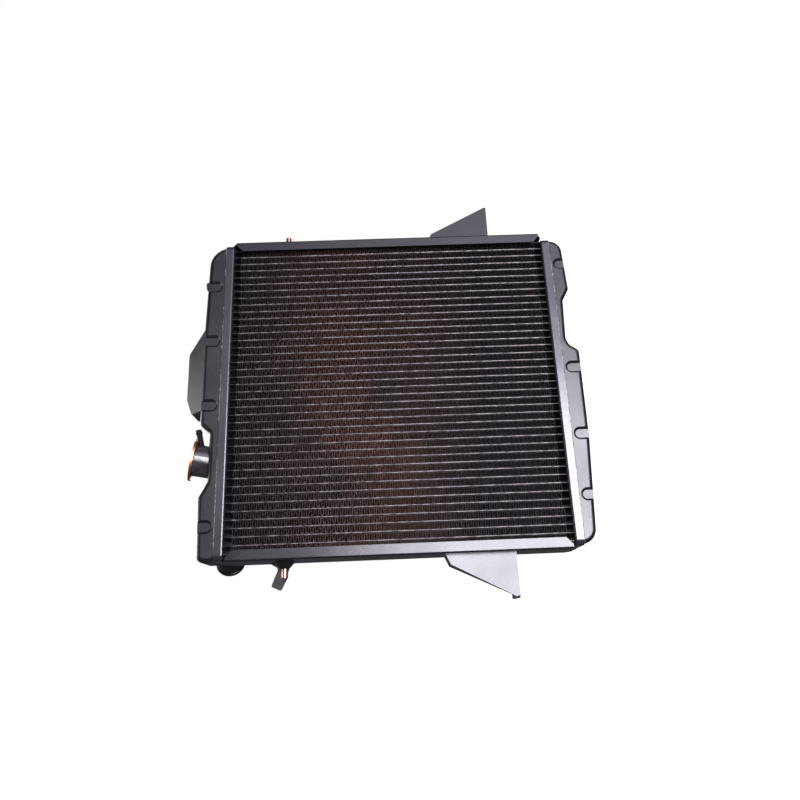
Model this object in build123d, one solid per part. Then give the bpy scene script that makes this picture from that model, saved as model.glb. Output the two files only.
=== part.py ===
from build123d import *
import os
from math import cos, radians, sin

# Down-flow car radiator: a copper and brass core between two pressed tanks, framed by two side channels.
# Millimetres. +Z is up, +Y is towards the engine, +X is to the right seen from the front.
# Everything is drawn from the middle of the core's front face. Saving moves it, so that the row's
# origin is the point midway between the two foot bolts, on the underside of the feet.

# --- core ---
TUBE_COUNT = 39
TUBE_PITCH = 11.0
TUBE_THICK = 2.2
TUBE_DEPTH = 14.0
TUBE_WALL = 0.35
TUBE_ROWS = 3
ROW_PITCH = 17.0
SOLDER_GAP = 0.05
CORE_DEPTH = (TUBE_ROWS - 1) * ROW_PITCH + TUBE_DEPTH
CORE_MID_Y = CORE_DEPTH / 2
FIN_HALF_HEIGHT = 217.5
FIN_INSET = 0.4
SIDE_SHEET = 1.0

# --- headers: shallow pans whose rims hold the tanks ---
HEADER_Z = 225.5
HEADER_SHEET = 1.5
HEADER_BEND = 2.8
RIM_HEIGHT = 12.0
RIM_END_X = 228.2
BOTTOM_RIM_RIGHT_X = 222.5
BOTTOM_RIM_LEFT_X = -225.5
RIM_DEPTH = 58.0
TANK_GAP = 0.2
TUBE_STICK_OUT = 3.0

# --- tanks ---
TANK_END_X = RIM_END_X - HEADER_SHEET - TANK_GAP
BOTTOM_TANK_RIGHT_X = BOTTOM_RIM_RIGHT_X - HEADER_SHEET - TANK_GAP
BOTTOM_TANK_LEFT_X = BOTTOM_RIM_LEFT_X + HEADER_SHEET + TANK_GAP
TANK_BULGE_X = -229.0
TANK_DEPTH = RIM_DEPTH - 2 * (HEADER_SHEET + TANK_GAP)
TANK_WALL = 1.2
TANK_FOOT_Z = HEADER_Z + HEADER_SHEET
TANK_FRONT_Y = CORE_MID_Y - TANK_DEPTH / 2
TANK_REAR_Y = CORE_MID_Y + TANK_DEPTH / 2
TANK_EDGE = 6.5
RIM_CORNER = TANK_EDGE + HEADER_SHEET + TANK_GAP
DENT_WIDTH = 18.0
DENT_DEPTH = 3.2
DENT_DRAFT = 45.0
DENT_START = 3.0
TOP_DENTS = (161.0, 76.0, -19.0, -184.0)
BOTTOM_DENTS = (181.0, 19.0, -77.0, -160.0)

# --- dome on the top tank ---
DOME_Z = 294.0
DOME_EDGE_Z = 264.5
DOME_FOOT_Z = 248.0
DOME_ROUND = 7.0

# --- side channels ---
CHANNEL_HALF_WIDTH = 229.7
CHANNEL_SHEET = 1.5
CHANNEL_FLANGE = 14.4
CHANNEL_BEND = 2.5
CHANNEL_FRONT_Y = -8.5
CHANNEL_REAR_Y = 50.0
CHANNEL_HALF_HEIGHT = 222.0
CHANNEL_MITRE = 9.0
WEB_TOP_Z = 231.0
WEB_BOTTOM_Z = -228.0
WEB_TAB_INSET = 13.0

# --- feet and gussets ---
FOOT_UNDERSIDE_Z = -150.5
FOOT_SHEET = 3.5
FOOT_REACH = 287.0
FOOT_FRONT_Y = 6.0
FOOT_REAR_Y = 50.0
FOOT_HOLE_X = 262.0
FOOT_HOLE_Y = 28.0
SLOT_WIDTH = 10.5
SLOT_LENGTH = 16.0
GUSSET_SHEET = 2.5
GUSSET_TOP_Z = -65.0
GUSSET_TOP_REACH = 242.5
GUSSET_TIP_REACH = 285.5
GUSSET_RETURN = 36.0

# --- filler neck ---
NECK_X = -88.0
NECK_Y = 22.0
NECK_TILT = 9.5
NECK_LEAN = 12.0
NECK_STEP_Z = 251.0
NECK_FOOT = 242.0
NECK_RADIUS = 21.8
NECK_BORE = 20.8
NECK_LOWER_BORE = 20.0
FLANGE_RADIUS = 29.0
FLANGE_Z = 278.2
FLANGE_SHEET = 1.2
FLANGE_LIP = 3.2
CAP_SEAT_Z = 260.5
NIPPLE_AXIS_X = -90.5
NIPPLE_AXIS_Y = 25.1
NIPPLE_AXIS_Z = 262.5
NIPPLE_TURN = 34.0
NIPPLE_RISE = 4.0
NIPPLE_INNER = 18.0
NIPPLE_REACH = 45.0
NIPPLE_RADIUS = 4.0
NIPPLE_BORE = 2.6
EAR_GAP = 9.0

# --- hose necks ---
HOSE_RADIUS = 19.0
HOSE_WALL = 1.2
HOSE_LENGTH = 38.0
HOSE_TILT = 30.0
HOSE_DROP = 6.0
HOSE_BEAD = 1.5
HOSE_TIP = 3.5
INLET_X = -196.0
OUTLET_X = 165.0
ROOT_HALF_WIDTH = 25.0
ROOT_HALF_HEIGHT = 7.5
ROOT_Z = 246.0

# --- small fittings ---
VENT_X = 175.0
VENT_SEAT_Z = 264.0
VENT_FOOT_Z = 256.0
VENT_BOSS_RADIUS = 7.0
VENT_SHANK = 4.0
STUD_Z = 150.0
STUD_Y = 20.0
STUD_RADIUS = 4.0
STUD_BOSS = 9.3
STUD_LENGTH = 12.0
STUD_CHAMFER = 0.8
LUG_Y = 36.0
LUG_SHEET = 2.0
DRAIN_X = -60.0
DRAIN_Z = -250.0
DRAIN_BOSS_RADIUS = 7.0
DRAIN_BOSS_BORE = 5.0
DRAIN_BOSS_INSIDE = 4.0
TAP_SHANK_LENGTH = 8.0
TAP_HEXAGON = 8.0
TAP_HEXAGON_LENGTH = 4.0
TAP_BARREL_RADIUS = 5.8
SPOUT_OFFSET = 11.0
SPOUT_RADIUS = 3.2
SPOUT_BORE = 1.8
SPOUT_LENGTH = 12.5
SPOUT_COLLAR_RADIUS = 4.6
SPOUT_COLLAR_LENGTH = 6.6
KEY_SHAFT = 3.0
KEY_CLEARANCE = 0.05
KEY_COLLAR_RADIUS = 4.4
KEY_WING_LENGTH = 28.0
KEY_WING_WIDTH = 7.0

TUBE_X = [TUBE_PITCH * (i - (TUBE_COUNT - 1) / 2) for i in range(TUBE_COUNT)]
TUBE_Y = [TUBE_DEPTH / 2 + ROW_PITCH * i for i in range(TUBE_ROWS)]
CORE_EDGE_X = TUBE_X[-1] + TUBE_PITCH - TUBE_THICK / 2
FAR = 600.0

BASE = Pos(0, -FOOT_HOLE_Y, -FOOT_UNDERSIDE_Z)


def save(name, shape):
    """Writes one node, moved so that the foot bolts are the origin."""
    export_step(BASE * shape, f"parts/{name}.step")


def slab(x0, x1, y0, y1, z0, z1):
    """A box between two opposite corners."""
    return Pos((x0 + x1) / 2, (y0 + y1) / 2, (z0 + z1) / 2) * Box(x1 - x0, y1 - y0, z1 - z0)


def upright(radius, height):
    """A cylinder standing on its lower face."""
    return Cylinder(radius, height, align=(Align.CENTER, Align.CENTER, Align.MIN))


def ring(outer, inner, z0, z1):
    """A flat ring or tube about the Z axis."""
    return extrude(Pos(0, 0, z0) * (Circle(outer) - Circle(inner)), z1 - z0)


def plan(left_x, right_x, depth, corner, z0, z1):
    """A rounded rectangle seen from above, centred on the core's depth."""
    shape = RectangleRounded(right_x - left_x, depth, corner)
    return extrude(Pos((left_x + right_x) / 2, CORE_MID_Y, z0) * shape, z1 - z0)


def mirrored(shape):
    """The same piece on the other side of the radiator."""
    return mirror(shape, about=Plane.YZ)


# --- core ---
def core_tubes():
    """Flat water tubes, three deep, reaching through both headers."""
    bore = SlotOverall(TUBE_DEPTH - 2 * TUBE_WALL, TUBE_THICK - 2 * TUBE_WALL, rotation=90)
    section = SlotOverall(TUBE_DEPTH, TUBE_THICK, rotation=90) - bore
    tube = extrude(section, TANK_FOOT_Z + TUBE_STICK_OUT, both=True)
    return Compound([Pos(x, y, 0) * tube for x in TUBE_X for y in TUBE_Y])


def core_fins():
    """One fin pack in each gap between tubes, and one outside each end tube."""
    gap = TUBE_PITCH - TUBE_THICK
    pack = Box(gap, CORE_DEPTH - 2 * FIN_INSET, 2 * FIN_HALF_HEIGHT)
    places = [TUBE_X[0] - TUBE_PITCH / 2] + [x + TUBE_PITCH / 2 for x in TUBE_X]
    return Compound([Pos(x, CORE_MID_Y, 0) * pack for x in places])


def core_side():
    """The folded brass sheet that closes the core's side and stands it off the channel."""
    outer_x = CHANNEL_HALF_WIDTH - CHANNEL_SHEET
    web = slab(CORE_EDGE_X, CORE_EDGE_X + SIDE_SHEET, FIN_INSET, CORE_DEPTH - FIN_INSET, -HEADER_Z, HEADER_Z)
    front = slab(CORE_EDGE_X, outer_x, FIN_INSET, FIN_INSET + SIDE_SHEET, -FIN_HALF_HEIGHT, FIN_HALF_HEIGHT)
    rear = Pos(0, CORE_DEPTH - 2 * FIN_INSET - SIDE_SHEET, 0) * front
    return web + front + rear


def header_pan(left_x, right_x):
    """The top header: a plate pierced by the tubes, folded up into a rim with a rounded lower edge."""
    rim_top = HEADER_Z + RIM_HEIGHT
    outside = plan(left_x, right_x, RIM_DEPTH, RIM_CORNER, HEADER_Z, rim_top)
    outside = fillet(outside.edges().group_by(Axis.Z)[0], HEADER_BEND)
    inside = plan(
        left_x + HEADER_SHEET,
        right_x - HEADER_SHEET,
        RIM_DEPTH - 2 * HEADER_SHEET,
        RIM_CORNER - HEADER_SHEET,
        TANK_FOOT_Z,
        rim_top,
    )
    slot = SlotOverall(TUBE_DEPTH + 2 * SOLDER_GAP, TUBE_THICK + 2 * SOLDER_GAP, rotation=90)
    slot = extrude(Pos(0, 0, HEADER_Z) * slot, HEADER_SHEET)
    return outside - inside - [Pos(x, y, 0) * slot for x in TUBE_X for y in TUBE_Y]


# --- tanks: both are drawn standing up from the top header, and the bottom one is then turned over ---
def outline_face(points, rounds, inset):
    """A closed outline, rounded at the listed corners and drawn in by inset."""
    face = make_face(Polyline(*points, close=True))
    for index, radius in rounds.items():
        x, y = points[index]
        corner = min(face.vertices(), key=lambda v: (v.X - x) ** 2 + (v.Y - y) ** 2)
        face = fillet(corner, radius)
    return offset(face, amount=-inset) if inset else face


def tank_body(outline, rounds, inset):
    """The front outline run through the tank's depth, its front and rear edges rounded.

    The inset body is the hollow inside; it reaches below the tank's foot, so that the tank is open there.
    """
    low = TANK_FOOT_Z - RIM_HEIGHT if inset else TANK_FOOT_Z
    front = [(x, low if z == TANK_FOOT_Z else z) for x, z in outline]
    face = outline_face(front, rounds, inset)
    body = extrude(Plane.XZ.offset(inset - TANK_REAR_Y) * face, TANK_DEPTH - 2 * inset)
    ends = body.edges().group_by(Axis.Y)
    edges = [e for e in ends[0] + ends[-1] if e.center().Z > low + inset + SOLDER_GAP]
    return fillet(edges, TANK_EDGE - inset)


def dents(places, inset):
    """Stiffening dents pressed into the front face, running out over the tank's outer edge."""
    start = HEADER_Z + RIM_HEIGHT + DENT_START + DENT_WIDTH / 2
    half = DENT_WIDTH / 2 + inset
    depth = DENT_DEPTH + inset
    height = DOME_Z - start
    outline = Pos(0, start) * Circle(half) + Pos(0, start + height / 2) * Rectangle(2 * half, height)
    cutter = extrude(Plane.XZ.offset(-TANK_FRONT_Y) * outline, -depth, taper=DENT_DRAFT)
    return [Pos(x, 0, 0) * cutter for x in places]


TOP_OUTLINE = [
    (-TANK_END_X, TANK_FOOT_Z),
    (-TANK_END_X, 238.5),
    (TANK_BULGE_X, 245.0),
    (TANK_BULGE_X, 260.4),
    (-145.0, 262.8),
    (-124.0, NECK_STEP_Z),
    (-58.0, NECK_STEP_Z),
    (-46.0, DOME_EDGE_Z),
    (100.0, DOME_EDGE_Z),
    (TANK_END_X, 261.0),
    (TANK_END_X, TANK_FOOT_Z),
]
TOP_ROUNDS = {1: 8.0, 2: 8.0, 3: 9.0, 4: 10.0, 5: 6.0, 6: 5.0, 7: 7.0, 9: 30.0}
DOME_OUTLINE = [
    (-25.0, DOME_FOOT_Z),
    (-25.0, 282.0),
    (4.0, DOME_Z),
    (68.0, DOME_Z),
    (95.0, 263.0),
    (95.0, DOME_FOOT_Z),
]
DOME_ROUNDS = {1: 3.0, 2: 15.0, 3: 12.0}
BOTTOM_OUTLINE = [
    (BOTTOM_TANK_LEFT_X, TANK_FOOT_Z),
    (BOTTOM_TANK_LEFT_X, 254.6),
    (-80.0, 262.6),
    (45.0, 263.6),
    (54.0, 251.1),
    (63.0, 247.1),
    (123.0, 249.6),
    (141.0, 259.6),
    (BOTTOM_TANK_RIGHT_X, 255.8),
    (BOTTOM_TANK_RIGHT_X, TANK_FOOT_Z),
]
BOTTOM_ROUNDS = {1: 20.0, 3: 7.0, 4: 6.0, 5: 6.0, 6: 8.0, 7: 7.0, 8: 18.0}


def dome_body(inset):
    """The raised rear half of the top tank: a slope rising from the front edge to a ridge."""
    bend_y = TANK_FRONT_Y + TANK_EDGE * (1 - sin(radians(45)))
    bend_z = DOME_EDGE_Z - TANK_EDGE * (1 - cos(radians(45)))
    ridge_y = bend_y + DOME_Z - bend_z
    side = [(bend_y, bend_z), (ridge_y, DOME_Z), (TANK_REAR_Y, DOME_Z)]
    side += [(TANK_REAR_Y, DOME_FOOT_Z), (bend_y + DOME_EDGE_Z - DOME_FOOT_Z, DOME_FOOT_Z)]
    front_view = extrude(Plane.XZ * outline_face(DOME_OUTLINE, DOME_ROUNDS, inset), FAR, both=True)
    side_view = outline_face(side, {1: DOME_ROUND, 2: DOME_ROUND}, inset)
    return front_view & extrude(Plane.YZ * side_view, FAR, both=True)


def root_profile(margin):
    """The flattened end of a hose neck, where it enters the tank's rear wall."""
    return Ellipse(ROOT_HALF_WIDTH + margin, ROOT_HALF_HEIGHT + margin)


def rear_opening(x):
    """The hole in a tank's rear wall that takes a hose neck's flattened end."""
    plane = Plane(origin=(x, TANK_REAR_Y + 5, ROOT_Z), x_dir=(1, 0, 0), z_dir=(0, -1, 0))
    return extrude(plane * root_profile(SOLDER_GAP), 10)


def on_neck(shape):
    """Leans a piece drawn on the upright neck to the right and forwards, about the cap flange's middle."""
    return Pos(NECK_X, NECK_Y, FLANGE_Z) * Rot(NECK_LEAN, NECK_TILT, 0) * Pos(0, 0, -FLANGE_Z) * shape


def top_tank():
    """Pressed top tank with a step for the filler neck and a dome, open below."""
    outside = tank_body(TOP_OUTLINE, TOP_ROUNDS, 0) + dome_body(0)
    inside = tank_body(TOP_OUTLINE, TOP_ROUNDS, TANK_WALL) + dome_body(TANK_WALL)
    shell = (outside - dents(TOP_DENTS, 0)) - (inside - dents(TOP_DENTS, TANK_WALL))
    shell -= on_neck(Pos(0, 0, NECK_STEP_Z) * Cylinder(NECK_RADIUS + SOLDER_GAP, 30))
    shell -= Pos(VENT_X, CORE_MID_Y, VENT_SEAT_Z) * Cylinder(VENT_BOSS_RADIUS + SOLDER_GAP, 20)
    return shell - rear_opening(INLET_X)


def bottom_tank():
    """Pressed bottom tank with a waist on its right half, drawn upright and turned over."""
    outside = tank_body(BOTTOM_OUTLINE, BOTTOM_ROUNDS, 0)
    inside = tank_body(BOTTOM_OUTLINE, BOTTOM_ROUNDS, TANK_WALL)
    shell = (outside - dents(BOTTOM_DENTS, 0)) - (inside - dents(BOTTOM_DENTS, TANK_WALL))
    shell -= rear_opening(OUTLET_X)
    drain = Pos(DRAIN_X, TANK_REAR_Y, -DRAIN_Z) * Rot(90, 0, 0) * Cylinder(DRAIN_BOSS_RADIUS + SOLDER_GAP, 12)
    return mirror(shell - drain, about=Plane.XY)


# --- hose necks ---
def hose_neck(tilt):
    """A neck from a flattened root at the origin to a beaded round end, turned by tilt about Z."""
    start_y = -3.0
    straight_y = 5.0
    round_y = 27.0
    drift = -round_y * sin(radians(tilt)) * 0.55
    across = (cos(radians(tilt)), sin(radians(tilt)), 0)
    away = (-sin(radians(tilt)), cos(radians(tilt)), 0)

    def passage(inset):
        root = Plane(origin=(0, start_y, 0), x_dir=(1, 0, 0), z_dir=(0, 1, 0))
        flare = Plane(origin=(0, straight_y, 0), x_dir=(1, 0, 0), z_dir=(0, 1, 0))
        mouth = Plane(origin=(drift, round_y, -HOSE_DROP), x_dir=across, z_dir=away)
        pipe = extrude(root * root_profile(-inset), straight_y - start_y)
        pipe += loft([flare * root_profile(-inset), mouth * Circle(HOSE_RADIUS - inset)])
        pipe += extrude(mouth * Circle(HOSE_RADIUS - inset), HOSE_LENGTH)
        return pipe, mouth

    outside, mouth = passage(0)
    inside, _ = passage(HOSE_WALL)
    bead = Cylinder(HOSE_RADIUS + HOSE_BEAD, 2 * HOSE_BEAD)
    bead = fillet(bead.edges().filter_by(GeomType.CIRCLE), 0.8 * HOSE_BEAD)
    return outside + mouth * Pos(0, 0, HOSE_LENGTH - HOSE_TIP - HOSE_BEAD) * bead - inside


def inlet_neck():
    return Pos(INLET_X, TANK_REAR_Y, ROOT_Z) * hose_neck(HOSE_TILT)


def outlet_neck():
    return mirror(Pos(OUTLET_X, TANK_REAR_Y, ROOT_Z) * hose_neck(0), about=Plane.XY)


# --- frame ---
def side_channel():
    """Right-hand channel: front and rear flanges, mitred at their inner corners, on a longer web."""
    depth = CHANNEL_REAR_Y - CHANNEL_FRONT_Y
    mid_y = (CHANNEL_REAR_Y + CHANNEL_FRONT_Y) / 2
    outer_x = CHANNEL_HALF_WIDTH
    inner_x = outer_x - CHANNEL_SHEET
    lip_x = outer_x - CHANNEL_FLANGE
    outside = Pos(lip_x, mid_y) * RectangleRounded(2 * CHANNEL_FLANGE, depth, CHANNEL_BEND)
    hollow = Pos(lip_x, mid_y) * RectangleRounded(
        2 * (CHANNEL_FLANGE - CHANNEL_SHEET), depth - 2 * CHANNEL_SHEET, CHANNEL_BEND - CHANNEL_SHEET
    )
    kept = Pos(lip_x + CHANNEL_FLANGE, mid_y) * Rectangle(2 * CHANNEL_FLANGE, 2 * depth)
    channel = extrude((outside - hollow) & kept, CHANNEL_HALF_HEIGHT, both=True)
    for end, tab_end in ((-1, WEB_BOTTOM_Z), (1, WEB_TOP_Z)):
        tip = end * CHANNEL_HALF_HEIGHT
        corner = [(lip_x, tip), (lip_x + CHANNEL_MITRE, tip), (lip_x, tip - end * CHANNEL_MITRE)]
        channel -= extrude(Plane.XZ * make_face(Polyline(*corner, close=True)), FAR, both=True)
        front_y = CHANNEL_FRONT_Y + CHANNEL_BEND
        rear_y = CHANNEL_REAR_Y - CHANNEL_BEND
        tab = [
            (front_y, tip),
            (CHANNEL_FRONT_Y + WEB_TAB_INSET, tab_end),
            (CHANNEL_REAR_Y - WEB_TAB_INSET, tab_end),
            (rear_y, tip),
        ]
        channel += extrude(Plane.YZ.offset(inner_x) * make_face(Polyline(*tab, close=True)), CHANNEL_SHEET)
    return channel


def gusset():
    """Right-hand gusset: a triangular front plate with a return that tapers away to the tip."""
    web_x = CHANNEL_HALF_WIDTH
    foot_top = FOOT_UNDERSIDE_Z + FOOT_SHEET
    front = [
        (web_x, GUSSET_TOP_Z + 6),
        (GUSSET_TOP_REACH, GUSSET_TOP_Z),
        (GUSSET_TIP_REACH, foot_top),
        (web_x, foot_top),
    ]
    plate_face = make_face(Polyline(*front, close=True))
    hollow = [
        (web_x - 1, GUSSET_TOP_Z + 6 - GUSSET_SHEET * 1.1),
        (GUSSET_TOP_REACH - GUSSET_SHEET * 0.65, GUSSET_TOP_Z - GUSSET_SHEET),
        (GUSSET_TIP_REACH - GUSSET_SHEET * 1.12, foot_top),
        (GUSSET_TIP_REACH - GUSSET_SHEET * 1.12, foot_top - 1),
        (web_x - 1, foot_top - 1),
    ]
    band_face = plate_face - make_face(Polyline(*hollow, close=True))
    front_plane = Plane.XZ.offset(-FOOT_FRONT_Y)
    plate = extrude(front_plane * plate_face, -GUSSET_SHEET)
    band = extrude(front_plane * band_face, -GUSSET_RETURN)
    tip_y = FOOT_FRONT_Y + GUSSET_SHEET
    back_y = FOOT_FRONT_Y + GUSSET_RETURN
    cut = [
        (back_y, GUSSET_TOP_Z),
        (FAR, GUSSET_TOP_Z),
        (FAR, foot_top - 1),
        (tip_y, foot_top - 1),
        (tip_y, foot_top),
    ]
    return plate + (band - extrude(Plane.YZ * make_face(Polyline(*cut, close=True)), FAR, both=True))


def foot_plate():
    """Right-hand foot: a flat plate, its bolt slot lying across the car."""
    inner_x = CHANNEL_HALF_WIDTH
    top = FOOT_UNDERSIDE_Z + FOOT_SHEET
    plate = slab(inner_x, FOOT_REACH, FOOT_FRONT_Y, FOOT_REAR_Y, FOOT_UNDERSIDE_Z, top)
    outer = plate.edges().filter_by(Axis.Z).group_by(Axis.X)[-1]
    plate = fillet(outer, 3.0)
    slot = Pos(FOOT_HOLE_X, FOOT_HOLE_Y, FOOT_UNDERSIDE_Z) * SlotOverall(SLOT_LENGTH, SLOT_WIDTH)
    return plate - extrude(slot, FOOT_SHEET)


# --- filler neck ---
def nipple_line(shape):
    """Lays a piece drawn about Z along the overflow nipple, which points to the right and forwards."""
    start = Pos(NIPPLE_AXIS_X, NIPPLE_AXIS_Y, NIPPLE_AXIS_Z)
    return start * Rot(0, 0, -NIPPLE_TURN) * Rot(0, 90 - NIPPLE_RISE, 0) * shape


def filler_neck():
    """Rolled neck, narrower below the valve's seat, let into the tank's step."""
    tube = Pos(0, 0, NECK_FOOT) * upright(NECK_RADIUS, FLANGE_Z - FLANGE_SHEET - NECK_FOOT)
    tube -= Pos(0, 0, NECK_FOOT) * upright(NECK_LOWER_BORE, CAP_SEAT_Z - NECK_FOOT)
    tube -= Pos(0, 0, CAP_SEAT_Z) * upright(NECK_BORE, FLANGE_Z - CAP_SEAT_Z)
    return on_neck(tube) - nipple_line(upright(NIPPLE_RADIUS + SOLDER_GAP, NIPPLE_REACH))


def filler_flange():
    """Cap flange with two cam lips. The gaps that let the cap's ears in stand over the overflow nipple."""
    flange = ring(FLANGE_RADIUS, NECK_BORE, FLANGE_Z - FLANGE_SHEET, FLANGE_Z)
    lips = ring(FLANGE_RADIUS, FLANGE_RADIUS - FLANGE_SHEET, FLANGE_Z - FLANGE_LIP, FLANGE_Z - FLANGE_SHEET)
    lips -= Pos(0, 0, FLANGE_Z) * Box(EAR_GAP + 8, 3 * FLANGE_RADIUS, 3 * FLANGE_LIP)
    ears = Pos(0, 0, FLANGE_Z) * Box(EAR_GAP, 3 * FLANGE_RADIUS, 3 * FLANGE_SHEET)
    ears -= Pos(0, 0, FLANGE_Z) * Cylinder(FLANGE_RADIUS - 3, 20)
    return on_neck(Rot(0, 0, 90 - NIPPLE_TURN) * (flange + lips - ears))


def filler_seat():
    """The ring inside the neck that the cap's valve closes on."""
    return on_neck(ring(NECK_LOWER_BORE - SOLDER_GAP, 14.0, CAP_SEAT_Z - 1.5, CAP_SEAT_Z))


def overflow_nipple():
    """Small beaded pipe out of the neck, above the valve's seat, its root cut to the neck's bore."""
    pipe = ring(NIPPLE_RADIUS, NIPPLE_BORE, NIPPLE_INNER, NIPPLE_REACH)
    bead = ring(NIPPLE_RADIUS + 0.7, NIPPLE_BORE, NIPPLE_REACH - 5, NIPPLE_REACH - 3)
    inside = on_neck(Pos(0, 0, NECK_STEP_Z) * upright(NECK_BORE + SOLDER_GAP, FLANGE_Z - NECK_STEP_Z))
    return nipple_line(pipe + bead) - inside


# --- vent ---
def vent_boss():
    """Threaded boss let into the tank's top."""
    return Pos(VENT_X, CORE_MID_Y, 0) * ring(VENT_BOSS_RADIUS, VENT_SHANK, VENT_FOOT_Z, VENT_SEAT_Z)


def vent_washer():
    return Pos(VENT_X, CORE_MID_Y, 0) * ring(8.0, VENT_SHANK + 0.2, VENT_SEAT_Z, VENT_SEAT_Z + 1)


def vent_plug():
    """Hexagon-headed plug screwed into the boss."""
    head = extrude(RegularPolygon(6.5, 6, major_radius=False), 5.5)
    head &= Cone(9.5, 5.5, 6.5, align=(Align.CENTER, Align.CENTER, Align.MIN))
    shank = Pos(0, 0, VENT_FOOT_Z) * upright(VENT_SHANK - SOLDER_GAP, VENT_SEAT_Z + 1 - VENT_FOOT_Z)
    return Pos(VENT_X, CORE_MID_Y, 0) * (Pos(0, 0, VENT_SEAT_Z + 1) * head + shank)


# --- side studs and lug ---
def stud_boss():
    """Cone-shaped weld boss on the channel's web."""
    cone = Cone(14.0, 5.8, STUD_BOSS, align=(Align.CENTER, Align.CENTER, Align.MIN))
    return Pos(CHANNEL_HALF_WIDTH, STUD_Y, STUD_Z) * Rot(0, 90, 0) * cone


def side_stud():
    """Copper-plated stud welded to its boss."""
    stud = upright(STUD_RADIUS, STUD_LENGTH)
    stud = chamfer(stud.edges().group_by(Axis.Z)[-1], STUD_CHAMFER)
    return Pos(CHANNEL_HALF_WIDTH + STUD_BOSS, STUD_Y, STUD_Z) * Rot(0, 90, 0) * stud


def side_lug():
    """Flat lug on the left channel, cranked upwards from a wide foot."""
    side_x = -CHANNEL_HALF_WIDTH
    outline = [
        (side_x, 144.2),
        (side_x - 12.7, 148.3),
        (side_x - 18.7, 148.3),
        (side_x - 35.8, 157.3),
        (side_x - 29.9, 170.3),
        (side_x - 6.9, 161.0),
        (side_x, 172.7),
    ]
    face = outline_face(outline, {3: 2.5, 4: 2.5, 5: 4.0}, 0)
    return extrude(Plane.XZ.offset(-LUG_Y) * face, -LUG_SHEET)


# --- drain tap ---
DRAIN_BOSS_END = TANK_REAR_Y + 6.0
TAP_END = DRAIN_BOSS_END + 16.0


def along_y(shape, y):
    """Lays a piece drawn about Z on the drain's axis, which runs rearwards."""
    return Pos(DRAIN_X, y, DRAIN_Z) * Rot(-90, 0, 0) * shape


def drain_boss():
    """Threaded boss through the bottom tank's rear wall."""
    inner_y = TANK_REAR_Y - DRAIN_BOSS_INSIDE
    return along_y(ring(DRAIN_BOSS_RADIUS, DRAIN_BOSS_BORE, 0, DRAIN_BOSS_END - inner_y), inner_y)


def drain_tap_body():
    """Tap body: shank in the boss, hexagon, barrel, and a spout that points down."""
    length = TAP_END - DRAIN_BOSS_END
    down = (Align.CENTER, Align.CENTER, Align.MAX)
    shank = Cylinder(DRAIN_BOSS_BORE - SOLDER_GAP, TAP_SHANK_LENGTH, align=down)
    hexagon = extrude(RegularPolygon(TAP_HEXAGON, 6, major_radius=False), TAP_HEXAGON_LENGTH)
    body = along_y(shank + hexagon + upright(TAP_BARREL_RADIUS, length), DRAIN_BOSS_END)
    spout = Cylinder(SPOUT_RADIUS, SPOUT_LENGTH, align=down)
    spout += Cylinder(SPOUT_COLLAR_RADIUS, SPOUT_COLLAR_LENGTH, align=down)
    outlet = Pos(0, 0, -7) * Cylinder(SPOUT_BORE, SPOUT_LENGTH, align=down)
    spout_place = Pos(DRAIN_X, DRAIN_BOSS_END + SPOUT_OFFSET, DRAIN_Z)
    bore_start = DRAIN_BOSS_END + TAP_HEXAGON_LENGTH
    bore = along_y(upright(KEY_SHAFT + KEY_CLEARANCE, length - TAP_HEXAGON_LENGTH), bore_start)
    return body + spout_place * spout - bore - spout_place * outlet


def drain_tap_key():
    """Turning plug with a wing handle, level when shut."""
    shaft = Cylinder(KEY_SHAFT, TAP_END - DRAIN_BOSS_END - 4.5, align=(Align.CENTER, Align.CENTER, Align.MAX))
    collar = Pos(0, 0, 0.4) * upright(KEY_COLLAR_RADIUS, 3.0)
    neck = upright(KEY_SHAFT, 1.0)
    wing = Pos(0, 0, 3.0) * extrude(SlotOverall(KEY_WING_LENGTH, KEY_WING_WIDTH), 3.0)
    return along_y(shaft + neck + collar + wing, TAP_END)


os.makedirs("parts", exist_ok=True)
save("core_tubes", core_tubes())
save("core_fins", core_fins())
save("right_core_side", core_side())
save("left_core_side", mirrored(core_side()))
save("top_header", header_pan(-RIM_END_X, RIM_END_X))
save("bottom_header", mirror(header_pan(BOTTOM_RIM_LEFT_X, BOTTOM_RIM_RIGHT_X), about=Plane.XY))
save("top_tank", top_tank())
save("bottom_tank", bottom_tank())
save("inlet_neck", inlet_neck())
save("outlet_neck", outlet_neck())
save("right_side_channel", side_channel())
save("left_side_channel", mirrored(side_channel()))
save("right_gusset", gusset())
save("left_gusset", mirrored(gusset()))
save("right_foot", foot_plate())
save("left_foot", mirrored(foot_plate()))
save("filler_neck", filler_neck())
save("filler_flange", filler_flange())
save("filler_seat", filler_seat())
save("overflow_nipple", overflow_nipple())
save("vent_boss", vent_boss())
save("vent_washer", vent_washer())
save("vent_plug", vent_plug())
save("right_stud_boss", stud_boss())
save("left_stud_boss", mirrored(stud_boss()))
save("right_side_stud", side_stud())
save("left_side_stud", mirrored(side_stud()))
save("left_side_lug", side_lug())
save("drain_boss", drain_boss())
save("drain_tap_body", drain_tap_body())
save("drain_tap_key", drain_tap_key())
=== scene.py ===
import math
import random

import bpy
from mathutils import Matrix, Quaternion, Vector


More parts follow.
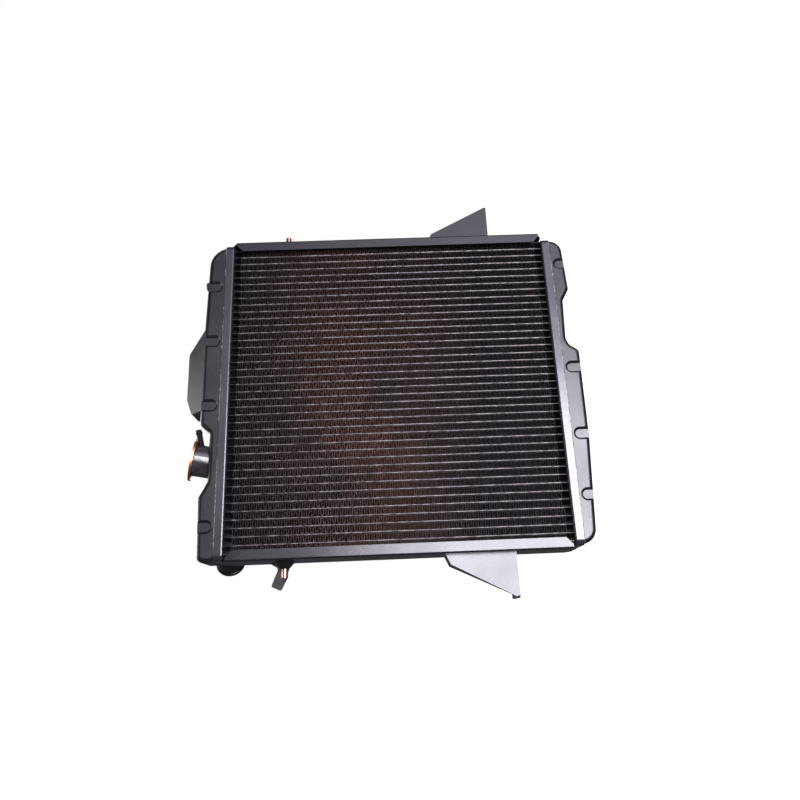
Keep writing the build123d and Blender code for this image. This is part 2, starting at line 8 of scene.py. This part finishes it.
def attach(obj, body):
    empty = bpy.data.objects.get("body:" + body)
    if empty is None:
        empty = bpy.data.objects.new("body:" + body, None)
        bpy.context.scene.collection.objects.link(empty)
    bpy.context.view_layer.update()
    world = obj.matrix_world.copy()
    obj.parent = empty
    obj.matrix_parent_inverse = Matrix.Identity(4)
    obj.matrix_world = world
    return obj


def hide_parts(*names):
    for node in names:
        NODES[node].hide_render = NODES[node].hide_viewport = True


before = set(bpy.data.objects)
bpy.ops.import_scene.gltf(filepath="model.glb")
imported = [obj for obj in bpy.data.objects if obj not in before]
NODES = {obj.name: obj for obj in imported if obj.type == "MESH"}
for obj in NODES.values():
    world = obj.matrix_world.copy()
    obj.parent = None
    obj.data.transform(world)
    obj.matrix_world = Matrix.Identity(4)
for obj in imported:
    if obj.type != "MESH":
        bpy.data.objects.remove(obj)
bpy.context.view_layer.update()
BODY = "radiator"

# The CAD's own layout, in metres.
CORE_Y = -0.028
CORE_Z = 0.1505
TUBE_PITCH = 0.011
TUBE_THICK = 0.0022
TUBE_COUNT = 39
CORE_DEPTH = 0.048
FIN_HALF_HEIGHT = 0.2175


# ---------- materials ----------
class Graph:
    """A material's node tree, with short calls for the nodes used here."""

    def __init__(self, name):
        self.material = bpy.data.materials.new(name)
        self.material.use_nodes = True
        self.tree = self.material.node_tree
        self.tree.nodes.clear()
        self.out = self.tree.nodes.new("ShaderNodeOutputMaterial")
        self.shader = self.tree.nodes.new("ShaderNodeBsdfPrincipled")
        self.tree.links.new(self.shader.outputs[0], self.out.inputs[0])
        self.where = self.tree.nodes.new("ShaderNodeTexCoord").outputs["Object"]

    def link(self, source, target):
        self.tree.links.new(source, target)

    def stretched(self, scale):
        node = self.tree.nodes.new("ShaderNodeMapping")
        node.inputs["Scale"].default_value = scale
        self.link(self.where, node.inputs["Vector"])
        return node.outputs[0]

    def noise(self, scale, detail=4.0, rough=0.55, along=(1, 1, 1)):
        node = self.tree.nodes.new("ShaderNodeTexNoise")
        node.inputs["Scale"].default_value = scale
        node.inputs["Detail"].default_value = detail
        node.inputs["Roughness"].default_value = rough
        self.link(self.stretched(along), node.inputs["Vector"])
        return node.outputs["Fac"]

    def distance(self, place, scale):
        """How far a point is from a place, in coordinates stretched by scale."""
        node = self.tree.nodes.new("ShaderNodeVectorMath")
        node.operation = "DISTANCE"
        self.link(self.stretched(scale), node.inputs[0])
        node.inputs[1].default_value = place
        return node.outputs["Value"]

    def ramp(self, value, stops):
        node = self.tree.nodes.new("ShaderNodeValToRGB")
        ramp = node.color_ramp
        while len(ramp.elements) < len(stops):
            ramp.elements.new(0.5)
        for element, (place, color) in zip(ramp.elements, stops):
            element.position = place
            element.color = (*color, 1.0)
        self.link(value, node.inputs[0])
        return node.outputs[0]

    def spread(self, value, low, high, out_low, out_high):
        node = self.tree.nodes.new("ShaderNodeMapRange")
        node.inputs["From Min"].default_value = low
        node.inputs["From Max"].default_value = high
        node.inputs["To Min"].default_value = out_low
        node.inputs["To Max"].default_value = out_high
        self.link(value, node.inputs["Value"])
        return node.outputs[0]

    def mix(self, factor, first, second):
        node = self.tree.nodes.new("ShaderNodeMix")
        node.data_type = "RGBA"
        self.link(factor, node.inputs[0])
        for source, socket in ((first, node.inputs[6]), (second, node.inputs[7])):
            if isinstance(source, tuple):
                socket.default_value = (*source, 1.0)
            else:
                self.link(source, socket)
        return node.outputs[2]

    def bump(self, height, strength, distance, under=None):
        node = self.tree.nodes.new("ShaderNodeBump")
        node.inputs["Strength"].default_value = strength
        node.inputs["Distance"].default_value = distance
        self.link(height, node.inputs["Height"])
        if under is not None:
            self.link(under, node.inputs["Normal"])
        return node.outputs[0]

    def set(self, **values):
        for name, value in values.items():
            socket = self.shader.inputs[name.replace("_", " ")]
            if isinstance(value, (int, float, tuple)):
                socket.default_value = value
            else:
                self.link(value, socket)


def black_paint(name, tint, rough, wear, shine=0.75):
    """Sprayed satin black over metal: orange peel, dust, faint runs, scuffs down to lighter primer."""
    g = Graph(name)
    cloudy = g.noise(14.0, 5.0)
    dust = g.noise(60.0, 8.0, 0.7)
    scuffs = g.noise(120.0, 6.0, 0.65, (0.35, 1.0, 1.0))
    base = g.ramp(cloudy, [(0.3, tint), (0.7, tuple(1.35 * c for c in tint))])
    dusty = g.mix(g.spread(dust, 0.62, 0.8, 0.0, 0.3), base, (0.09, 0.085, 0.08))
    worn = g.mix(g.spread(scuffs, 0.70, 0.74, 0.0, wear), dusty, (0.33, 0.31, 0.30))
    peel = g.noise(700.0, 2.0)
    wavy = g.noise(22.0, 2.0)
    normal = g.bump(peel, 0.12, 0.0004, g.bump(wavy, 0.2, 0.0012))
    g.set(Base_Color=worn, Metallic=0.0, Roughness=g.spread(cloudy, 0.3, 0.7, rough - 0.05, rough + 0.07))
    g.set(Normal=normal, Specular_IOR_Level=shine)
    return g.material


def fin_metal():
    """Thin copper strip under a mist of black paint. The copper shows most around the middle of the core
    and fades to black towards the tanks, and less towards the sides.
    """
    g = Graph("fin_strip")
    patches = g.noise(9.0, 4.0)
    fine = g.noise(160.0, 3.0)
    # 1 around the middle of the core, a little towards the top tank, falling to 0 towards the tanks and,
    # less steeply, towards the sides
    middle_of_core = g.spread(g.distance((0.0, 0.0, 0.20), (0.30, 0.0, 1.0)), 0.03, 0.17, 1.0, 0.0)
    copper_shows = g.ramp(patches, [(0.36, (0.060, 0.032, 0.028)), (0.64, (0.170, 0.072, 0.055))])
    base = g.mix(middle_of_core, (0.020, 0.017, 0.019), copper_shows)
    speckled = g.mix(g.spread(fine, 0.5, 0.8, 0.0, 0.5), base, (0.035, 0.032, 0.033))
    g.set(Base_Color=speckled, Metallic=0.35, Roughness=g.spread(fine, 0.3, 0.7, 0.40, 0.6))
    g.set(Normal=g.bump(fine, 0.3, 0.0003))
    return g.material


def tube_metal():
    """Flat brass tubes with thin black paint, rubbed bright along their noses.

    Past the fins their ends are made black and not metallic: painted shade for the dark gap between the
    fins and the headers.
    """
    g = Graph("tube_brass")
    from_middle = g.distance((0.0, 0.0, CORE_Z), (0.0, 0.0, 1.0))
    # painted shade: the tubes turn black where they cross the shaded gap between the fins' ends and the
    # headers
    painted_gap_shade = g.spread(from_middle, FIN_HALF_HEIGHT - 0.003, FIN_HALF_HEIGHT + 0.001, 0.0, 1.0)
    along = g.noise(150.0, 4.0, 0.6, (1.0, 1.0, 0.8))
    rubbed = g.ramp(along, [(0.38, (0.05, 0.046, 0.048)), (0.62, (0.21, 0.19, 0.19))])
    base = g.mix(painted_gap_shade, rubbed, (0.006, 0.006, 0.007))
    g.set(Base_Color=base, Metallic=g.spread(painted_gap_shade, 0.0, 1.0, 0.6, 0.0))
    g.set(Roughness=g.spread(along, 0.3, 0.7, 0.34, 0.46))
    g.set(Normal=g.bump(along, 0.4, 0.0004))
    return g.material


def copper(name, light, dark, rough):
    """Bare copper with handling marks and slight tarnish."""
    g = Graph(name)
    tarnish = g.noise(45.0, 6.0, 0.6)
    drawn = g.noise(300.0, 3.0, 0.5, (1.0, 1.0, 0.08))
    base = g.ramp(tarnish, [(0.35, dark), (0.6, light)])
    g.set(Base_Color=base, Metallic=1.0, Roughness=g.spread(drawn, 0.3, 0.7, rough, rough + 0.12))
    g.set(Normal=g.bump(drawn, 0.25, 0.0002))
    return g.material


def gloss_paint():
    """Thick, wet-looking black paint on the neck, with fine turning marks showing through."""
    g = Graph("neck_paint")
    stain = g.noise(60.0, 5.0, 0.6)
    turned = g.noise(400.0, 3.0, 0.5, (0.1, 0.1, 1.0))
    base = g.ramp(stain, [(0.36, (0.012, 0.012, 0.014)), (0.60, (0.050, 0.048, 0.052))])
    g.set(Base_Color=base, Metallic=0.0, Roughness=g.spread(stain, 0.3, 0.7, 0.22, 0.12))
    g.set(Normal=g.bump(turned, 0.25, 0.0003), Specular_IOR_Level=1.0)
    return g.material


def solder():
    """Soft solder under the black paint, which has missed the crests and left them bright."""
    g = Graph("painted_solder")
    missed = g.noise(55.0, 5.0, 0.6)
    grain = g.noise(420.0, 3.0)
    tin = g.ramp(grain, [(0.35, (0.30, 0.30, 0.32)), (0.65, (0.62, 0.62, 0.65))])
    base = g.mix(g.spread(missed, 0.44, 0.56, 0.0, 1.0), (0.02, 0.019, 0.023), tin)
    g.set(Base_Color=base, Metallic=0.35, Roughness=g.spread(grain, 0.3, 0.7, 0.24, 0.38))
    g.set(Normal=g.bump(grain, 0.3, 0.0003), Specular_IOR_Level=1.0)
    return g.material


SOLDER = solder()
PAINT = black_paint("tank_paint", (0.0065, 0.0062, 0.0072), 0.32, 0.25)
# The header paint's lighter tint is partly painted sheen, for the brighter light on the header strips;
# its extra gloss and heavier scuffs are the headers' own.
RIM_PAINT = black_paint("header_paint", (0.022, 0.020, 0.025), 0.24, 0.8, 1.0)
STEEL_PAINT = black_paint("frame_paint", (0.008, 0.008, 0.009), 0.26, 0.45)
GLOSS = gloss_paint()
FIN = fin_metal()
TUBE = tube_metal()
NECK = copper("filler_copper", (0.80, 0.36, 0.20), (0.45, 0.17, 0.09), 0.34)
STUD = copper("stud_copper", (0.86, 0.46, 0.32), (0.5, 0.22, 0.15), 0.28)
BRASS = copper("fitting_brass", (0.83, 0.66, 0.38), (0.5, 0.36, 0.18), 0.25)

LOOKS = {
    "core_tubes": TUBE,
    "core_fins": FIN,
    "right_core_side": TUBE,
    "left_core_side": TUBE,
    "top_header": RIM_PAINT,
    "bottom_header": RIM_PAINT,
    "filler_neck": GLOSS,
    "filler_flange": NECK,
    "filler_seat": BRASS,
    "vent_boss": BRASS,
    "vent_washer": STUD,
    "right_side_stud": STUD,
    "left_side_stud": STUD,
    "drain_boss": BRASS,
    "drain_tap_body": BRASS,
    "drain_tap_key": BRASS,
}
STEEL_PIECES = ("channel", "gusset", "foot", "lug", "stud_boss")
# Pieces with sheared or pressed edges, and how far each edge is rounded.
BEVELLED = {
    "right_gusset": 0.0005,
    "left_gusset": 0.0005,
    "right_foot": 0.0005,
    "left_foot": 0.0005,
    "top_header": 0.0003,
    "bottom_header": 0.0003,
}


def dress(obj, material):
    obj.data.materials.clear()
    obj.data.materials.append(material)


def round_edges(obj, width, angle=32.0):
    """A small bevel on the hard edges, so that they catch the light."""
    bevel = obj.modifiers.new("edges", "BEVEL")
    bevel.width = width
    bevel.segments = 2
    bevel.limit_method = "ANGLE"
    bevel.angle_limit = math.radians(angle)
    bevel.harden_normals = True


for name, node in NODES.items():
    frame_piece = any(word in name for word in STEEL_PIECES)
    dress(node, LOOKS.get(name, STEEL_PAINT if frame_piece else PAINT))
    for polygon in node.data.polygons:
        polygon.use_smooth = True
    if name in BEVELLED:
        round_edges(node, BEVELLED[name])


# ---------- fins: one folded strip in each gap ----------
WAVE = 0.0063
STRIP_THICK = 0.00040
FIN_INSET = 0.0004
FIN_FRONT = CORE_Y + FIN_INSET
FIN_REAR = CORE_Y + CORE_DEPTH - FIN_INSET
FIN_MIDDLE = (FIN_FRONT + FIN_REAR) / 2
FIN_GAP = TUBE_PITCH - TUBE_THICK
# The strips' louvres leave no straight way through the core: the legs bend at half depth by this much.
FIN_BEND = 0.0035
# One wave's bends: how far along the wave, and how far across the gap.
LEG = 0.04
SHOULDER = 0.88
FOLDS = (
    (LEG, SHOULDER),
    (0.25, 1.0),
    (0.5 - LEG, SHOULDER),
    (0.5 + LEG, -SHOULDER),
    (0.75, -1.0),
    (1.0 - LEG, -SHOULDER),
)


def folded_strip(x, phase):
    """Points of one folded strip, as (x, z) from bottom to top: steep legs with rounded crests."""
    half = FIN_GAP / 2 - STRIP_THICK
    points = []
    height = 2 * FIN_HALF_HEIGHT
    for count in range(-1, math.ceil(height / WAVE)):
        for place, push in FOLDS:
            rise = (count + phase + place) * WAVE
            if 0 <= rise <= height:
                points.append((x + half * push, CORE_Z - FIN_HALF_HEIGHT + rise))
    return points


def build_fins():
    rng = random.Random(7)
    mesh = bpy.data.meshes.new("fin_strips")
    verts, faces = [], []
    first = -(TUBE_COUNT - 1) / 2 * TUBE_PITCH - TUBE_PITCH / 2
    for k in range(TUBE_COUNT + 1):
        line = folded_strip(first + k * TUBE_PITCH, rng.uniform(0, 1))
        start = len(verts)
        for x, z in line:
            verts.append((x, FIN_FRONT, z))
            verts.append((x, FIN_MIDDLE, z + FIN_BEND))
            verts.append((x, FIN_REAR, z))
        for i in range(len(line) - 1):
            a = start + 3 * i
            faces.append((a, a + 1, a + 4, a + 3))
            faces.append((a + 1, a + 2, a + 5, a + 4))
    mesh.from_pydata(verts, [], faces)
    mesh.update()
    fins = bpy.data.objects.new("fin_strips", mesh)
    bpy.context.scene.collection.objects.link(fins)
    sheet = fins.modifiers.new("sheet", "SOLIDIFY")
    sheet.thickness = STRIP_THICK
    sheet.offset = 0.0
    dress(fins, FIN)
    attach(fins, BODY)
    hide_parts("core_fins")


build_fins()

# ---------- solder: a bead where each tank stands in its header's rim ----------
RIM_FROM_CORE = 0.2375
TANK_FRONT_Y = -0.0313
TANK_REAR_Y = 0.0233
TANK_CORNER = 0.0065
TOP_TANK_END = 0.2265
BOTTOM_TANK_LEFT = -0.2238
BOTTOM_TANK_RIGHT = 0.2208
BEAD_RADIUS = 0.0011
BEAD_SIDES = 8
BEAD_STEP = 0.0018
ARC_STEPS = 8
WANDER_WAVES = 6
WANDER_SHARE = 0.7


def rounded_loop(left, right):
    """Points of a tank's outline in plan, each with the direction that faces outwards there."""
    points = []
    corners = (
        (right - TANK_CORNER, TANK_REAR_Y - TANK_CORNER, 0),
        (left + TANK_CORNER, TANK_REAR_Y - TANK_CORNER, 90),
        (left + TANK_CORNER, TANK_FRONT_Y + TANK_CORNER, 180),
        (right - TANK_CORNER, TANK_FRONT_Y + TANK_CORNER, 270),
    )
    for i, (x, y, start) in enumerate(corners):
        for k in range(ARC_STEPS + 1):
            angle = math.radians(start + 90 * k / ARC_STEPS)
            out = Vector((math.cos(angle), math.sin(angle), 0))
            points.append((Vector((x, y, 0)) + TANK_CORNER * out, out))
        after_x, after_y, _ = corners[(i + 1) % len(corners)]
        begin, out = points[-1]
        run = Vector((after_x, after_y, 0)) + TANK_CORNER * out - begin
        steps = int(run.length / BEAD_STEP)
        points.extend((begin + run * j / steps, out) for j in range(1, steps))
    return points


def build_bead(name, left, right, z, seed):
    """A hand-run bead: its thickness and height wander a little along the seam."""
    rng = random.Random(seed)
    waves = [(rng.randint(20, 160), rng.uniform(0, 2 * math.pi)) for _ in range(WANDER_WAVES)]
    loop = rounded_loop(left, right)
    verts, faces = [], []
    for i, (point, out) in enumerate(loop):
        along = 2 * math.pi * i / len(loop)
        wander = sum(math.sin(count * along + phase) for count, phase in waves) / len(waves)
        radius = BEAD_RADIUS * (1.0 + WANDER_SHARE * wander)
        for k in range(BEAD_SIDES):
            angle = 2 * math.pi * k / BEAD_SIDES
            rise = Vector((0, 0, z + radius * math.sin(angle)))
            verts.append(point + radius * math.cos(angle) * out + rise)
    for i in range(len(loop)):
        for k in range(BEAD_SIDES):
            a, b = i * BEAD_SIDES, (i + 1) % len(loop) * BEAD_SIDES
            after = (k + 1) % BEAD_SIDES
            faces.append((a + k, a + after, b + after, b + k))
    mesh = bpy.data.meshes.new(name)
    mesh.from_pydata(verts, [], faces)
    mesh.update()
    for polygon in mesh.polygons:
        polygon.use_smooth = True
    bead = bpy.data.objects.new(name, mesh)
    bpy.context.scene.collection.objects.link(bead)
    dress(bead, SOLDER)
    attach(bead, BODY)


build_bead("top_solder_bead", -TOP_TANK_END, TOP_TANK_END, CORE_Z + RIM_FROM_CORE, 11)
build_bead("bottom_solder_bead", BOTTOM_TANK_LEFT, BOTTOM_TANK_RIGHT, CORE_Z - RIM_FROM_CORE, 12)

# ---------- stage ----------
CAM_PLACE = Vector((-0.3175, -0.9281, 0.1595))
CAM_LENS = 31.05
# Picture axes in the row's frame: right, up and the way the camera looks.
LOOK_TURN = (-18.3, -0.7, -2.2)


def camera_axes():
    """The upright picture axes, turned by the camera's small tilt."""
    right, down, ahead = Vector((0, 0, -1)), Vector((-1, 0, 0)), Vector((0, 1, 0))
    base = Matrix((right, down, ahead))
    tilt = Vector([math.radians(a) for a in LOOK_TURN])
    turn = Quaternion(tilt.normalized(), tilt.length).to_matrix()
    return turn @ base


def add_camera():
    data = bpy.data.cameras.new("camera")
    data.lens = CAM_LENS
    data.sensor_width = 36.0
    data.clip_start = 0.05
    data.clip_end = 50.0
    camera = bpy.data.objects.new("camera", data)
    rows = camera_axes()
    turn = Matrix((rows[0], -rows[1], -rows[2])).transposed()
    camera.matrix_world = Matrix.Translation(CAM_PLACE) @ turn.to_4x4()
    bpy.context.scene.collection.objects.link(camera)
    bpy.context.scene.camera = camera


add_camera()

FLOOR_Z = -0.75
FLOOR_REACH = 30.0


def pale_surface():
    g = Graph("pale_floor")
    cloud = g.noise(3.0, 3.0)
    base = g.ramp(cloud, [(0.3, (0.90, 0.90, 0.90)), (0.7, (0.93, 0.93, 0.93))])
    g.set(Base_Color=base, Roughness=0.9)
    g.set(Emission_Color=(1.0, 1.0, 1.0, 1.0), Emission_Strength=1.0)
    return g.material


def add_floor():
    """A pale floor well below the radiator, which its feet hold up."""
    mesh = bpy.data.meshes.new("floor")
    corners = [(-FLOOR_REACH, -FLOOR_REACH, FLOOR_Z), (FLOOR_REACH, -FLOOR_REACH, FLOOR_Z)]
    corners += [(FLOOR_REACH, FLOOR_REACH, FLOOR_Z), (-FLOOR_REACH, FLOOR_REACH, FLOOR_Z)]
    mesh.from_pydata(corners, [], [(0, 1, 2, 3)])
    floor = bpy.data.objects.new("floor", mesh)
    bpy.context.scene.collection.objects.link(floor)
    dress(floor, pale_surface())
    floor.visible_glossy = False
    floor.visible_diffuse = False


add_floor()


def area_light(name, place, target, size, power, color=(1, 1, 1)):
    data = bpy.data.lights.new(name, "AREA")
    data.shape = "RECTANGLE"
    data.size, data.size_y = size
    data.energy = power
    data.color = color
    light = bpy.data.objects.new(name, data)
    light.location = place
    light.rotation_mode = "QUATERNION"
    light.rotation_quaternion = (Vector(target) - Vector(place)).to_track_quat("-Z", "Y")
    light.visible_camera = False
    bpy.context.scene.collection.objects.link(light)


FRONT_LOBE = Vector((0.30, -0.90, -0.30)).normalized()
LOBE_EDGE = 0.76
LOBE_FULL = 1.0
LOBE_LEVEL = 2.2
ROOM_LEVEL = 0.10
ROOM_TINT = (0.87, 0.84, 1.0, 1.0)


def add_world():
    """White behind the object. What it reflects is a broad soft light in front of it, in a dim room."""
    world = bpy.data.worlds.new("world")
    world.use_nodes = True
    tree = world.node_tree
    background = tree.nodes["Background"]
    direction = tree.nodes.new("ShaderNodeTexCoord").outputs["Generated"]
    toward = tree.nodes.new("ShaderNodeVectorMath")
    toward.operation = "DOT_PRODUCT"
    tree.links.new(direction, toward.inputs[0])
    toward.inputs[1].default_value = FRONT_LOBE
    level = tree.nodes.new("ShaderNodeMapRange")
    level.interpolation_type = "SMOOTHSTEP"
    level.inputs["From Min"].default_value = LOBE_EDGE
    level.inputs["From Max"].default_value = LOBE_FULL
    level.inputs["To Min"].default_value = ROOM_LEVEL
    level.inputs["To Max"].default_value = LOBE_LEVEL
    tree.links.new(toward.outputs["Value"], level.inputs["Value"])
    lit = tree.nodes.new("ShaderNodeBackground")
    lit.inputs["Color"].default_value = ROOM_TINT
    tree.links.new(level.outputs[0], lit.inputs["Strength"])
    background.inputs["Color"].default_value = (1.0, 1.0, 1.0, 1.0)
    background.inputs["Strength"].default_value = 1.0
    path = tree.nodes.new("ShaderNodeLightPath")
    choose = tree.nodes.new("ShaderNodeMixShader")
    tree.links.new(path.outputs["Is Camera Ray"], choose.inputs[0])
    tree.links.new(lit.outputs[0], choose.inputs[1])
    tree.links.new(background.outputs[0], choose.inputs[2])
    output = tree.nodes["World Output"]
    tree.links.new(choose.outputs[0], output.inputs["Surface"])
    bpy.context.scene.world = world


bpy.context.scene.view_settings.view_transform = "Standard"
add_world()
area_light("key", (0.0, -1.9, -0.50), (0.0, 0, -0.50), (1.24, 1.4), 80.0, (0.94, 0.91, 1.0))
area_light("rear_light", (0.3, 1.5, 1.7), (0, 0, 0.15), (1.2, 1.2), 26.0)
area_light("top_light", (0.0, 0.1, 2.2), (0, 0, 0.3), (1.2, 1.2), 10.0)
